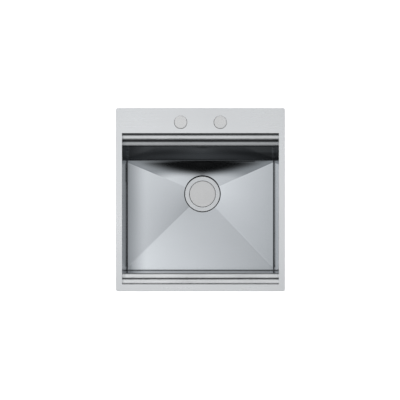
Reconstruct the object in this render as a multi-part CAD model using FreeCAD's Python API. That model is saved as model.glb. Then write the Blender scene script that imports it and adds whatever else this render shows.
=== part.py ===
import FreeCAD, Part
import math
import os

# Drop-in kitchen sink of folded and welded stainless sheet, with a pop-up waste.
# The origin is the centre of the outer rim in plan, at the height of the worktop's top.
# +X is to the right, +Y to the rear, where the deck is, and +Z is up. Lengths are millimetres.

# Top plate
sheet = 1.2
rim_width = 470.0
rim_depth = 510.0
rim_corner_radius = 5.0
rim_lift = 1.8
rim_edge_round = 0.8
side_rim = 17.0
front_rim = 20.0
rear_deck = 70.0
hole_spacing = 110.0
hole_from_rear = 40.0
deck_hole_radius = 14.0

# Bowl
bowl_depth = 200.0
bend_radius = 1.8
upper_ledge_drop = 20.0
lower_ledge_drop = 45.0
front_ledge_width = 13.5
rear_ledge_width = 10.8
rail_lap = 12.0
rear_slope_degrees = 13.0
front_floor_radius = 2.0
front_floor_margin = 5.0
rear_floor_radius = 3.0
rear_floor_margin = 6.0
side_floor_radius = 3.5
floor_fall = 10.0

# Drain seat, where the floor meets the waste
drain_x = 6.0
drain_y = 17.0
drain_hole_radius = 45.0
seat_drop = 10.0
seat_wall_run = 4.0
seat_clearance = 1.0

# Rim gasket and worktop
gasket_width = 7.5
gasket_set_in = 0.4
worktop_thickness = 38.0

# Fixing clips
clip_width = 24.0
clip_sheet = 1.5
clip_length = 90.0
clip_foot = 13.0
clip_ear = 4.5
clip_ear_drop = 12.0
clip_top_tab = 4.0
hook_sheet = 2.0
hook_width = 20.0
hook_reach = 14.6
hook_tip_rise = 6.0
clip_screw_radius = 2.5
clip_screw_length = 26.0
clip_screw_place = 8.0
clip_screw_head_radius = 4.6
clip_screw_head = 4.0
screw_clearance = 0.1
side_clip_spacing = 260.0
front_clip_spacing = 260.0
rear_clip_spacing = 320.0

# Sound pads
pad_thickness = 3.0
wall_pad_length = 230.0
wall_pad_height = 70.0
wall_pad_lift = 16.0
floor_pad_width = 105.0
floor_pad_length = 190.0
floor_pad_from_drain = 75.0

# Waste flange and gaskets
flange_radius = 52.5
flange_thickness = 1.4
flange_bevel = 1.0
flange_gasket_thickness = 1.0
cap_pocket_radius = 39.6
cap_pocket_depth = 2.2
cone_run = 3.8
cone_drop = 3.4
seat_lip = 1.4
throat_radius = 43.4
throat_wall = 1.6
throat_length = 26.0
body_gasket_thickness = 3.0

# Waste body
body_flange_radius = 56.0
body_flange_thickness = 4.0
body_wall = 3.2
body_thread_gap = 0.2
cup_depth = 38.0
cone_depth = 20.0
outlet_thread_radius = 23.9
outlet_bore_radius = 20.0
outlet_length = 32.0
guide_radius = 7.0
guide_ring = 2.0
guide_gap = 0.2
guide_spoke = 3.0
guide_spoke_height = 6.0
guide_spoke_count = 3

# Lift mechanism below the plug
pin_radius = 3.5
pin_stop_radius = 5.0
pin_stop = 2.0
pin_gap = 0.3
finger_reach = 16.0
finger_half_swing_degrees = 20.0
finger_tip_radius = 2.5
finger_web = 2.4
finger_width = 5.0
shaft_radius = 3.0
shaft_drop = 53.0
shaft_inner_end = 4.5
shaft_boss_radius = 6.5
running_gap = 0.06
hub_gap = 0.02
hub_wall = 2.5
seal_ring_width = 3.0
seal_ring_depth = 1.6
lever_length = 23.0
lever_width = 4.0
lever_eye_radius = 4.0
lever_web = 5.0
lever_pin_bore = 1.25
housing_wall = 2.0
housing_length = 36.0
housing_above = 32.0
housing_below = 11.0
housing_air = 2.0
housing_from_cup = 1.0
cover_plate = 2.0
cover_screw_radius = 1.4
cover_screw_head_radius = 2.8
cover_screw_head = 1.6
cover_screw_length = 8.0
cover_screw_inset = 4.0
cover_boss_radius = 3.4
gland_radius = 3.2
gland_bore_radius = 1.5
gland_length = 16.0
gland_collar_radius = 4.8
gland_collar = 3.0

# Plug and strainer basket
cap_radius = 38.7
cap_thickness = 1.5
cap_bevel = 0.7
seal_inner_radius = 30.0
seal_edge_radius = 38.2
seal_foot_radius = 36.3
seal_gap = 0.4
basket_radius = 34.0
basket_floor_radius = 27.0
basket_depth = 22.0
basket_wall = 1.2
basket_slot_count = 9
basket_slot_width = 5.0
basket_slot_margin = 4.0
basket_hole_radius = 2.6
basket_hole_ring = 17.0
basket_hole_count = 6
stem_radius = 3.0
stem_head_radius = 6.0
stem_head = 1.6
stem_nut_radius = 6.0
stem_nut_height = 4.0
stem_end = 1.5

# Control knob on the deck
knob_radius = 17.25
knob_height = 4.5
knob_bevel = 0.9
knob_gap = 0.3
knob_socket = 2.6
knob_socket_radius = 3.8
knob_gasket_thickness = 0.6
knob_gasket_set_in = 0.65
knob_flange_thickness = 1.2
knob_flange_set_in = 0.35
sleeve_radius = 13.6
sleeve_length = 27.0
spindle_radius = 5.0
washer_radius = 20.0
washer_thickness = 1.0
nut_radius = 20.0
nut_height = 8.0
nut_thread_gap = 0.1
retainer_radius = 8.0
retainer_thickness = 1.2
drum_radius = 12.0
drum_height = 8.0
drum_groove = 2.0
drum_groove_height = 3.0
drum_gap = 1.5
drum_housing_wall = 2.5
drum_housing_grip = 6.0

# Cover of the second deck hole
cover_height = 4.0
cover_bolt_radius = 4.0
cover_bolt_length = 30.0
cover_bolt_socket = 2.4
bridge_length = 52.0
bridge_width = 18.0
bridge_thickness = 2.0
bridge_gap = 0.3
bridge_corner_radius = 6.0
wing_nut_radius = 8.0
wing_nut_height = 6.5
wing_length = 9.0
wing_thickness = 2.5
wing_height = 10.0

# One overrun for all cuts
over = 5.0

# Levels and lines that follow from the sizes
slope = math.radians(rear_slope_degrees)
half_width = rim_width / 2
half_depth = rim_depth / 2
under_plate = rim_lift
deck_top = rim_lift + sheet
bowl_half = half_width - side_rim
open_front = -half_depth + front_rim
open_rear = half_depth - rear_deck
hole_y = half_depth - hole_from_rear
knob_x = -hole_spacing / 2
spare_x = hole_spacing / 2
seat_z = -bowl_depth - seat_drop
finger_swing = math.radians(finger_half_swing_degrees)


def vec(x, y, z):
    return FreeCAD.Vector(x, y, z)


def block(x0, x1, y0, y1, z0, z1):
    return Part.makeBox(x1 - x0, y1 - y0, z1 - z0, vec(x0, y0, z0))


def rod(radius, x, y, z0, z1):
    return Part.makeCylinder(radius, z1 - z0, vec(x, y, z0))


def cross_rod(radius, x0, x1, y, z):
    return Part.makeCylinder(radius, x1 - x0, vec(x0, y, z), vec(1, 0, 0))


def joined(shapes):
    whole = shapes[0]
    for shape in shapes[1:]:
        whole = whole.fuse(shape)
    return whole.removeSplitter()


def turned(profile, x, y):
    """A profile of (radius, height) points, turned about the upright line at x, y."""
    points = [vec(radius, 0, height) for radius, height in profile]
    face = Part.Face(Part.makePolygon(points + points[:1]))
    solid = face.revolve(vec(0, 0, 0), vec(0, 0, 1), 360)
    solid.translate(vec(x, y, 0))
    return solid


def ring(inner, outer, x, y, z0, z1):
    return rod(outer, x, y, z0, z1).cut(rod(inner, x, y, z0 - over, z1 + over))


def hexagon(radius, x, y, z0, z1):
    corners = []
    for step in range(6):
        turn = math.radians(60 * step)
        corners.append(vec(x + radius * math.cos(turn), y + radius * math.sin(turn), z0))
    return Part.Face(Part.makePolygon(corners + corners[:1])).extrude(vec(0, 0, z1 - z0))


def rounded_wire(corners, radii):
    """A closed outline through the corners, each rounded to its own radius."""
    starts = []
    ends = []
    edges = []
    for i, corner in enumerate(corners):
        back = (corners[i - 1] - corner).normalize()
        ahead = (corners[(i + 1) % len(corners)] - corner).normalize()
        half = back.getAngle(ahead) / 2
        reach = radii[i] / math.tan(half)
        starts.append(corner + back * reach)
        ends.append(corner + ahead * reach)
    for i, corner in enumerate(corners):
        if radii[i] > 0:
            middle = (starts[i] + ends[i] - corner * 2).normalize()
            half = (starts[i] - corner).getAngle(middle)
            centre = corner + middle * (radii[i] / math.sin(half))
            edges.append(Part.Arc(starts[i], centre - middle * radii[i], ends[i]).toShape())
        edges.append(Part.LineSegment(ends[i], starts[(i + 1) % len(corners)]).toShape())
    return Part.Wire(edges)


def across(outline, radii, x0, x1):
    """An outline of (y, z) corners, run from side to side."""
    corners = [vec(x0, y, z) for y, z in outline]
    return Part.Face(rounded_wire(corners, radii)).extrude(vec(x1 - x0, 0, 0))


def lengthways(outline, radii, y0, y1):
    """An outline of (x, z) corners, run from front to rear."""
    corners = [vec(x, y0, z) for x, z in outline]
    return Part.Face(rounded_wire(corners, radii)).extrude(vec(0, y1 - y0, 0))


def plate(x0, x1, y0, y1, z0, z1, radius):
    """A flat slab with four equal round corners in plan."""
    corners = [vec(x0, y0, z0), vec(x1, y0, z0), vec(x1, y1, z0), vec(x0, y1, z0)]
    return Part.Face(rounded_wire(corners, [radius] * 4)).extrude(vec(0, 0, z1 - z0))


def beside(path, distance):
    """The corners of a line that runs at a distance to the right of a folded path."""
    moved = []
    for i, (y, z) in enumerate(path):
        normals = []
        for start, end in ((i - 1, i), (i, i + 1)):
            if start >= 0 and end < len(path):
                dy = path[end][0] - path[start][0]
                dz = path[end][1] - path[start][1]
                run = math.hypot(dy, dz)
                normals.append((dz / run, -dy / run))
        first, last = normals[0], normals[-1]
        share = distance / (1 + first[0] * last[0] + first[1] * last[1])
        moved.append((y + (first[0] + last[0]) * share, z + (first[1] + last[1]) * share))
    return moved


def bends(path, radii, thickness):
    """Bend radii of the path and of the line beside it, from the radii inside the bends."""
    near = [0.0] * len(path)
    far = [0.0] * len(path)
    for i in range(1, len(path) - 1):
        dy0 = path[i][0] - path[i - 1][0]
        dz0 = path[i][1] - path[i - 1][1]
        dy1 = path[i + 1][0] - path[i][0]
        dz1 = path[i + 1][1] - path[i][1]
        left_turn = dy0 * dz1 - dz0 * dy1 > 0
        near[i] = radii[i] if left_turn else radii[i] + thickness
        far[i] = radii[i] + thickness if left_turn else radii[i]
    return near, far


def folded(path, radii, thickness, x0, x1):
    """A sheet folded along a path of (y, z) corners, its thickness to the right of the path."""
    near, far = bends(path, radii, thickness)
    outline = path + beside(path, thickness)[::-1]
    return across(outline, near + far[::-1], x0, x1)


# Lines of the bowl's section, from the front over the floor to the rear
def front_rail_path():
    nose_1 = open_front + front_ledge_width
    nose_2 = nose_1 + front_ledge_width
    return [
        (open_front, under_plate),
        (open_front, -upper_ledge_drop),
        (nose_1, -upper_ledge_drop),
        (nose_1, -lower_ledge_drop),
        (nose_2, -lower_ledge_drop),
        (nose_2, -lower_ledge_drop - rail_lap),
    ]


def rear_rail_path():
    foot_1 = open_rear - (under_plate + upper_ledge_drop) * math.tan(slope)
    nose_1 = foot_1 - rear_ledge_width
    foot_2 = nose_1 - (lower_ledge_drop - upper_ledge_drop) * math.tan(slope)
    nose_2 = foot_2 - rear_ledge_width
    return [
        (nose_2 - rail_lap * math.sin(slope), -lower_ledge_drop - rail_lap * math.cos(slope)),
        (nose_2, -lower_ledge_drop),
        (foot_2, -lower_ledge_drop),
        (nose_1, -upper_ledge_drop),
        (foot_1, -upper_ledge_drop),
        (open_rear, under_plate),
    ]


def rear_wall_y(z):
    """The visible face of the rear wall, which stands one sheet behind the rail's lap."""
    nose = rear_rail_path()[1][0]
    return nose + (z + lower_ledge_drop) * math.tan(slope) + sheet / math.cos(slope)


pan_front = front_rail_path()[4][0] - sheet
pan_top = -lower_ledge_drop - sheet - bend_radius
rear_turn = math.pi / 2 - slope
rear_bend = rear_floor_radius * math.tan(rear_turn / 2)
floor_front = pan_front + front_floor_radius + front_floor_margin
floor_rear = rear_wall_y(-bowl_depth) - rear_bend - rear_floor_margin
rail_radii = [0.0] + [bend_radius] * 4 + [0.0]


def make_top_plate():
    outer = plate(-half_width, half_width, -half_depth, half_depth, 0, deck_top, rim_corner_radius)
    top_edges = [e for e in outer.Edges if e.BoundBox.ZMin > deck_top - rim_edge_round / 2]
    outer = outer.makeFillet(rim_edge_round, top_edges)
    inner_x = half_width - sheet
    inner_y = half_depth - sheet
    inner_radius = rim_corner_radius - sheet
    hollow = plate(-inner_x, inner_x, -inner_y, inner_y, -over, under_plate, inner_radius)
    opening = block(-bowl_half, bowl_half, open_front, open_rear, -over, deck_top + over)
    top = outer.cut(hollow).cut(opening)
    for x in (knob_x, spare_x):
        top = top.cut(rod(deck_hole_radius, x, hole_y, -over, deck_top + over))
    return top


def floor_pyramid(lower):
    """The four sloping floor faces over their flat base, let down by a distance."""
    base_z = -bowl_depth - lower
    floor_half = bowl_half - side_floor_radius
    tip = vec(drain_x, drain_y, base_z - floor_fall)
    base = [
        vec(-floor_half, floor_front, base_z),
        vec(floor_half, floor_front, base_z),
        vec(floor_half, floor_rear, base_z),
        vec(-floor_half, floor_rear, base_z),
    ]
    faces = [Part.Face(Part.makePolygon(base + base[:1]))]
    for i in range(4):
        corners = [base[i], base[(i + 1) % 4], tip, base[i]]
        faces.append(Part.Face(Part.makePolygon(corners)))
    return Part.Solid(Part.Shell(faces))


def drain_seat(wall):
    """The pressed seat of the drain, a shallow cone with a flat bottom, grown by a wall."""
    foot = flange_radius + seat_clearance + wall
    profile = [
        (0, seat_z - wall),
        (foot, seat_z - wall),
        (foot + seat_wall_run, -bowl_depth),
        (0, -bowl_depth),
    ]
    return turned(profile, drain_x, drain_y)


def bowl_room(wall):
    """The space inside the four folded walls up to the rails, grown by a wall."""
    behind = wall / math.cos(slope)
    foot = -bowl_depth - wall
    section = [
        (pan_front - wall, pan_top),
        (pan_front - wall, foot),
        (rear_wall_y(foot) + behind, foot),
        (rear_wall_y(pan_top) + behind, pan_top),
    ]
    half = bowl_half + wall
    width = [(-half, pan_top), (-half, foot), (half, foot), (half, pan_top)]
    section_radii = [0, front_floor_radius + wall, rear_floor_radius + wall, 0]
    deep = across(section, section_radii, -half, half)
    side_radius = side_floor_radius + wall
    wide = lengthways(width, [0, side_radius, side_radius, 0], -half_depth, half_depth)
    return deep.common(wide)


def side_top(x0):
    """The upper part of a side wall, cut to the outside of both rails."""
    front = beside(front_rail_path(), sheet)
    rear = beside(rear_rail_path(), sheet)
    behind = sheet / math.cos(slope)
    lower = -lower_ledge_drop - sheet
    outline = front[:4] + [(pan_front - sheet, lower), (pan_front - sheet, pan_top)]
    outline += [(rear_wall_y(pan_top) + behind, pan_top), (rear_wall_y(lower) + behind, lower)]
    front_far = bends(front_rail_path(), rail_radii, sheet)[1]
    rear_far = bends(rear_rail_path(), rail_radii, sheet)[1]
    return across(outline + rear[2:], front_far[:4] + [0.0] * 4 + rear_far[2:], x0, x0 + sheet)


def make_bowl_shell():
    """One sheet with four folded walls, a creased floor and a pressed drain seat."""
    walls = bowl_room(sheet).cut(bowl_room(0))
    shell = walls.fuse(side_top(-bowl_half - sheet)).fuse(side_top(bowl_half))
    shell = shell.fuse(floor_pyramid(sheet)).fuse(drain_seat(sheet))
    shell = shell.cut(floor_pyramid(0)).cut(drain_seat(0))
    hole = rod(drain_hole_radius, drain_x, drain_y, seat_z - sheet - over, -bowl_depth)
    return shell.cut(hole).removeSplitter()


def make_rail(path):
    return folded(path, rail_radii, sheet, -bowl_half, bowl_half)


def make_rim_gasket():
    outer_x = half_width - sheet - gasket_set_in
    outer_y = half_depth - sheet - gasket_set_in
    inner_x = outer_x - gasket_width
    inner_y = outer_y - gasket_width
    radius = rim_corner_radius - sheet - gasket_set_in
    outer = plate(-outer_x, outer_x, -outer_y, outer_y, 0, under_plate, radius)
    return outer.cut(block(-inner_x, inner_x, -inner_y, inner_y, -over, under_plate + over))


# Fixing clips, made at the origin with the worktop's edge towards +X
clip_foot_z = -clip_length
hook_foot_z = clip_foot_z + clip_sheet + clip_sheet + hook_sheet
clip_line = side_rim - sheet


def make_clip_bracket():
    half = clip_width / 2
    leg = block(0, clip_sheet, -half, half, clip_foot_z, under_plate)
    foot = block(0, clip_foot, -half, half, clip_foot_z, clip_foot_z + clip_sheet)
    tab = block(0, clip_top_tab, -half, half, under_plate - clip_sheet, under_plate)
    ear_top = -worktop_thickness - clip_ear_drop
    ears = []
    for y0 in (-half, half - clip_sheet):
        ears.append(block(0, clip_ear, y0, y0 + clip_sheet, clip_foot_z, ear_top))
    bracket = joined([leg, foot, tab] + ears)
    radius = clip_screw_radius + screw_clearance
    return bracket.cut(rod(radius, clip_screw_place, 0, clip_foot_z - over, hook_foot_z))


def make_clip_hook():
    half = hook_width / 2
    x0 = clip_sheet
    arm_top = -worktop_thickness - hook_tip_rise
    leg = block(x0, x0 + hook_sheet, -half, half, hook_foot_z, arm_top)
    arm = block(x0, hook_reach, -half, half, arm_top - hook_sheet, arm_top)
    tip = block(hook_reach - hook_sheet, hook_reach, -half, half, arm_top, -worktop_thickness)
    foot = block(x0, clip_foot, -half, half, hook_foot_z, hook_foot_z + hook_sheet)
    return joined([leg, arm, tip, foot])


def make_clip_screw():
    bottom = hook_foot_z - clip_screw_length
    shank = rod(clip_screw_radius, clip_screw_place, 0, bottom, hook_foot_z)
    head = hexagon(clip_screw_head_radius, clip_screw_place, 0, bottom - clip_screw_head, bottom)
    return joined([shank, head])


def clip_places():
    """Place and turn of each clip: two along each edge of the sink."""
    middle = (open_front + open_rear) / 2
    places = []
    for side in (-0.5, 0.5):
        places.append((half_width - clip_line, middle + side * side_clip_spacing, 0))
        places.append((clip_line - half_width, middle + side * side_clip_spacing, 180))
        places.append((side * front_clip_spacing, clip_line - half_depth, 270))
        places.append((side * rear_clip_spacing, half_depth - clip_line, 90))
    return places


def at_clips(solid):
    copies = []
    for x, y, turn in clip_places():
        copy = solid.copy()
        copy.rotate(vec(0, 0, 0), vec(0, 0, 1), turn)
        copy.translate(vec(x, y, 0))
        copies.append(copy)
    return Part.makeCompound(copies)


# Sound pads, bonded to the outside of the bowl
def make_side_pads():
    z0 = -bowl_depth + wall_pad_lift
    middle = (floor_front + floor_rear) / 2
    pads = []
    for x0 in (-bowl_half - sheet - pad_thickness, bowl_half + sheet):
        y0 = middle - wall_pad_length / 2
        y1 = y0 + wall_pad_length
        pads.append(block(x0, x0 + pad_thickness, y0, y1, z0, z0 + wall_pad_height))
    return Part.makeCompound(pads)


def make_front_pad():
    z0 = -bowl_depth + wall_pad_lift
    y1 = pan_front - sheet
    half = wall_pad_length / 2
    return block(-half, half, y1 - pad_thickness, y1, z0, z0 + wall_pad_height)


def make_rear_pad():
    z0 = -bowl_depth + wall_pad_lift
    behind = sheet / math.cos(slope)
    path = []
    for z in (z0, z0 + wall_pad_height * math.cos(slope)):
        path.append((rear_wall_y(z) + behind, z))
    half = wall_pad_length / 2
    return folded(path, [0.0, 0.0], pad_thickness, -half, half)


def make_floor_pads():
    middle = (floor_front + floor_rear) / 2
    half = floor_pad_length / 2
    under = floor_pyramid(sheet + pad_thickness).cut(floor_pyramid(sheet))
    pads = []
    for x0 in (drain_x - floor_pad_from_drain - floor_pad_width, drain_x + floor_pad_from_drain):
        x1 = x0 + floor_pad_width
        foot = seat_z - floor_fall
        blank = block(x0, x1, middle - half, middle + half, foot, -bowl_depth - sheet)
        pads.append(under.common(blank))
    return Part.makeCompound([solid for pad in pads for solid in pad.Solids])


# Waste: heights are counted from the drain seat
def up(z):
    return seat_z + z


flange_foot = flange_gasket_thickness
flange_top = flange_foot + flange_thickness
pocket_floor = flange_top - cap_pocket_depth
lip_radius = cap_pocket_radius - cone_run
lip_top = pocket_floor - cone_drop
lip_foot = lip_top - seat_lip
under_floor = -sheet
gasket_foot = under_floor - body_gasket_thickness
body_foot = gasket_foot - body_flange_thickness
cup_foot = gasket_foot - cup_depth
cone_foot = cup_foot - cone_depth
outlet_foot = cone_foot - outlet_length
shaft_z = -shaft_drop
finger_drop = finger_reach * math.sin(finger_swing)
pin_foot = shaft_z - finger_drop + finger_tip_radius + pin_gap
cap_foot = flange_top - cap_thickness
seal_foot = lip_top + (seal_foot_radius - lip_radius) * cone_drop / cone_run + seal_gap
basket_foot = seal_foot - basket_depth
nut_foot = basket_foot - stem_nut_height
stem_foot = nut_foot - stem_end
pin_top = stem_foot - pin_gap
guide_top = pin_top - pin_stop - pin_gap
guide_foot = cup_foot
shaft_y = drain_y + finger_reach
cup_inner = throat_radius + body_thread_gap
cup_outer = cup_inner + body_wall
boss_end = drain_x + cup_outer + housing_from_cup


def turned_waste(profile):
    return turned([(radius, up(z)) for radius, z in profile], drain_x, drain_y)


def make_waste_flange():
    throat_inner = throat_radius - throat_wall
    return turned_waste([
        (throat_radius, flange_foot),
        (flange_radius, flange_foot),
        (flange_radius, flange_top - flange_bevel),
        (flange_radius - flange_bevel, flange_top),
        (cap_pocket_radius, flange_top),
        (cap_pocket_radius, pocket_floor),
        (lip_radius, lip_top),
        (lip_radius, lip_foot),
        (throat_inner, lip_foot),
        (throat_inner, flange_foot - throat_length),
        (throat_radius, flange_foot - throat_length),
    ])


def make_flange_gasket():
    outer = flange_radius - flange_bevel
    return ring(drain_hole_radius, outer, drain_x, drain_y, up(0), up(flange_foot))


def make_body_gasket():
    outer = body_flange_radius - flange_bevel
    return ring(drain_hole_radius, outer, drain_x, drain_y, up(gasket_foot), up(under_floor))


def make_waste_body():
    """Cup, cone and threaded outlet in one moulding, with a boss for the rocker shaft."""
    wall = turned_waste([
        (cup_inner, gasket_foot),
        (body_flange_radius, gasket_foot),
        (body_flange_radius, body_foot),
        (cup_outer, body_foot),
        (cup_outer, cup_foot),
        (outlet_thread_radius, cone_foot),
        (outlet_thread_radius, outlet_foot),
        (outlet_bore_radius, outlet_foot),
        (outlet_bore_radius, cone_foot),
        (cup_inner, cup_foot),
    ])
    inside = turned_waste([
        (0, gasket_foot),
        (cup_inner, gasket_foot),
        (cup_inner, cup_foot),
        (outlet_bore_radius, cone_foot),
        (outlet_bore_radius, outlet_foot),
        (0, outlet_foot),
    ])
    boss_start = drain_x + outlet_bore_radius
    boss = cross_rod(shaft_boss_radius, boss_start, boss_end, shaft_y, up(shaft_z))
    bore_end = boss_end + over
    bore = cross_rod(shaft_radius + running_gap, drain_x, bore_end, shaft_y, up(shaft_z))
    seal_radius = shaft_radius + seal_ring_depth
    groove = cross_rod(seal_radius, boss_end - seal_ring_width, bore_end, shaft_y, up(shaft_z))
    return wall.fuse(boss.cut(inside)).cut(bore).cut(groove).removeSplitter()


def make_pin_guide():
    """A moulded spider that rests on the cup's shoulder and guides the lift pin."""
    outer = cup_inner - guide_gap
    spoke_top = guide_foot + guide_spoke_height
    rim = ring(outer - guide_ring, outer, drain_x, drain_y, up(guide_foot), up(spoke_top))
    hub = rod(guide_radius, drain_x, drain_y, up(guide_foot), up(guide_top))
    half = guide_spoke / 2
    pieces = [hub, rim]
    for i in range(guide_spoke_count):
        spoke = block(0, outer - guide_ring / 2, -half, half, up(guide_foot), up(spoke_top))
        spoke.rotate(vec(0, 0, 0), vec(0, 0, 1), 90 + 360 * i / guide_spoke_count)
        spoke.translate(vec(drain_x, drain_y, 0))
        pieces.append(spoke)
    bore_radius = pin_radius + running_gap
    bore = rod(bore_radius, drain_x, drain_y, up(guide_foot - over), up(guide_top + over))
    return joined(pieces).cut(bore)


def make_shaft_seal():
    x1 = boss_end
    x0 = x1 - seal_ring_width
    outer = cross_rod(shaft_radius + seal_ring_depth, x0, x1, shaft_y, up(shaft_z))
    bore = cross_rod(shaft_radius + running_gap, x0 - over, x1 + over, shaft_y, up(shaft_z))
    return outer.cut(bore)


# Lever housing on the end of the shaft boss
housing_x0 = boss_end
lever_x0 = housing_x0 + housing_wall + housing_air
lever_x1 = lever_x0 + lever_width
lever_middle = (lever_x0 + lever_x1) / 2
housing_x1 = lever_x1 + housing_air
cover_x1 = housing_x1 + cover_plate
housing_y0 = shaft_y - housing_length / 2
housing_y1 = shaft_y + housing_length / 2
housing_z0 = shaft_z - housing_below
housing_z1 = shaft_z + housing_above
gland_z = shaft_z + lever_length


def cover_screw_places():
    places = []
    for y in (housing_y0 + cover_screw_inset, housing_y1 - cover_screw_inset):
        for z in (housing_z0 + cover_screw_inset, housing_z1 - cover_screw_inset):
            places.append((y, z))
    return places


def make_lever_housing():
    wall = housing_wall
    box = block(housing_x0, housing_x1, housing_y0, housing_y1, up(housing_z0), up(housing_z1))
    foot = up(housing_z0 + wall)
    head = up(housing_z1 - wall)
    room = block(housing_x0 + wall, housing_x1 + over, housing_y0 + wall, housing_y1 - wall, foot, head)
    house = box.cut(room)
    half = cover_boss_radius
    for y, z in cover_screw_places():
        house = house.fuse(block(housing_x0, housing_x1, y - half, y + half, up(z - half), up(z + half)))
    bore_x0 = housing_x1 - cover_screw_length
    for y, z in cover_screw_places():
        house = house.cut(cross_rod(cover_screw_radius, bore_x0, housing_x1 + over, y, up(z)))
    hole_radius = shaft_radius + running_gap
    shaft_hole = cross_rod(hole_radius, housing_x0 - over, housing_x0 + wall + over, shaft_y, up(shaft_z))
    start = vec(lever_middle, housing_y1 - wall - over, up(gland_z))
    gland_hole = Part.makeCylinder(gland_radius, wall + 2 * over, start, vec(0, 1, 0))
    return house.cut(shaft_hole).cut(gland_hole).removeSplitter()


def make_lever_cover():
    lid = block(housing_x1, cover_x1, housing_y0, housing_y1, up(housing_z0), up(housing_z1))
    radius = cover_screw_radius + screw_clearance
    for y, z in cover_screw_places():
        lid = lid.cut(cross_rod(radius, housing_x1 - over, cover_x1 + over, y, up(z)))
    return lid


def make_cover_screws():
    screws = []
    for y, z in cover_screw_places():
        start = cover_x1 - cover_screw_length
        shank = cross_rod(cover_screw_radius, start, cover_x1, y, up(z))
        head = cross_rod(cover_screw_head_radius, cover_x1, cover_x1 + cover_screw_head, y, up(z))
        screws.append(joined([shank, head]))
    return Part.makeCompound(screws)


def make_gland(base, along):
    """A cable gland: a short tube with a collar that stops against the housing."""
    tube = Part.makeCylinder(gland_radius, gland_length, base, along)
    collar = Part.makeCylinder(gland_collar_radius, gland_collar, base + along * housing_wall, along)
    bore = Part.makeCylinder(gland_bore_radius, gland_length + 2 * over, base - along * over, along)
    return tube.fuse(collar).cut(bore).removeSplitter()


def make_waste_gland():
    base = vec(lever_middle, housing_y1 - housing_wall, up(gland_z))
    return make_gland(base, vec(0, 1, 0))


# Moving parts of the lift, drawn with the plug closed
def make_rocker_shaft():
    return cross_rod(shaft_radius, drain_x - shaft_inner_end, lever_x1, shaft_y, up(shaft_z))


def arm_on_shaft(x0, x1, length, tip_radius, web, turn):
    """An arm with a hub that slides on the shaft, turned up from the front by an angle."""
    hub_radius = shaft_radius + hub_gap + hub_wall
    hub = cross_rod(hub_radius, x0, x1, 0, 0)
    tip = cross_rod(tip_radius, x0, x1, -length, 0)
    bar = block(x0, x1, -length, 0, -web / 2, web / 2)
    arm = joined([hub, bar, tip]).cut(cross_rod(shaft_radius + hub_gap, x0 - over, x1 + over, 0, 0))
    arm.rotate(vec(0, 0, 0), vec(1, 0, 0), turn)
    arm.translate(vec(0, shaft_y, up(shaft_z)))
    return arm


def make_lift_finger():
    half = finger_width / 2
    rest = finger_half_swing_degrees
    x0 = drain_x - half
    x1 = drain_x + half
    return arm_on_shaft(x0, x1, finger_reach, finger_tip_radius, finger_web, rest)


def make_pull_lever():
    rest = finger_half_swing_degrees - 90
    arm = arm_on_shaft(lever_x0, lever_x1, lever_length, lever_eye_radius, lever_web, rest)
    turn = math.radians(rest)
    y = shaft_y - lever_length * math.cos(turn)
    z = up(shaft_z) - lever_length * math.sin(turn)
    return arm.cut(cross_rod(lever_pin_bore, lever_x0 - over, lever_x1 + over, y, z))


def make_lift_pin():
    stem = rod(pin_radius, drain_x, drain_y, up(pin_foot), up(pin_top))
    stop = rod(pin_stop_radius, drain_x, drain_y, up(pin_top - pin_stop), up(pin_top))
    return joined([stem, stop])


# Plug: cap, seal and basket on one stem
def make_plug_cap():
    socket_top = cap_foot + cap_thickness / 2
    return turned_waste([
        (0, socket_top),
        (stem_radius, socket_top),
        (stem_radius, cap_foot),
        (cap_radius, cap_foot),
        (cap_radius, flange_top - cap_bevel),
        (cap_radius - cap_bevel, flange_top),
        (0, flange_top),
    ])


def make_plug_seal():
    edge_z = lip_top + (seal_edge_radius - lip_radius) * cone_drop / cone_run + seal_gap
    return turned_waste([
        (seal_inner_radius, cap_foot),
        (seal_edge_radius, cap_foot),
        (seal_edge_radius, edge_z),
        (seal_foot_radius, seal_foot),
        (seal_inner_radius, seal_foot),
    ])


def make_strainer_basket():
    """A tapered cup with a rim under the seal, wall slots and a ring of floor holes."""
    w = basket_wall
    hub = stem_radius + hub_gap
    cup = turned_waste([
        (seal_inner_radius, seal_foot),
        (basket_radius, seal_foot),
        (basket_radius, seal_foot - w),
        (seal_inner_radius + w, seal_foot - w),
        (basket_floor_radius + w, basket_foot),
        (hub, basket_foot),
        (hub, basket_foot + w),
        (basket_floor_radius, basket_foot + w),
    ])
    slot_top = seal_foot - basket_slot_margin
    slot_foot = basket_foot + basket_slot_margin
    half = basket_slot_width / 2
    for i in range(basket_slot_count):
        outer = basket_radius + over
        slot = block(basket_hole_ring, outer, -half, half, up(slot_foot), up(slot_top))
        slot.rotate(vec(0, 0, 0), vec(0, 0, 1), 360 * i / basket_slot_count)
        slot.translate(vec(drain_x, drain_y, 0))
        cup = cup.cut(slot)
    for i in range(basket_hole_count):
        turn = 2 * math.pi * i / basket_hole_count
        x = drain_x + basket_hole_ring * math.cos(turn)
        y = drain_y + basket_hole_ring * math.sin(turn)
        cup = cup.cut(rod(basket_hole_radius, x, y, up(basket_foot - over), up(basket_foot + over)))
    return cup


def make_plug_stem():
    shank = rod(stem_radius, drain_x, drain_y, up(stem_foot), up(cap_foot + cap_thickness / 2))
    collar_z = basket_foot + basket_wall
    collar = rod(stem_head_radius, drain_x, drain_y, up(collar_z), up(collar_z + stem_head))
    return joined([shank, collar])


def make_stem_nut():
    nut = hexagon(stem_nut_radius, drain_x, drain_y, up(nut_foot), up(basket_foot))
    hole_radius = stem_radius + hub_gap
    return nut.cut(rod(hole_radius, drain_x, drain_y, up(nut_foot - over), up(basket_foot + over)))


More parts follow.
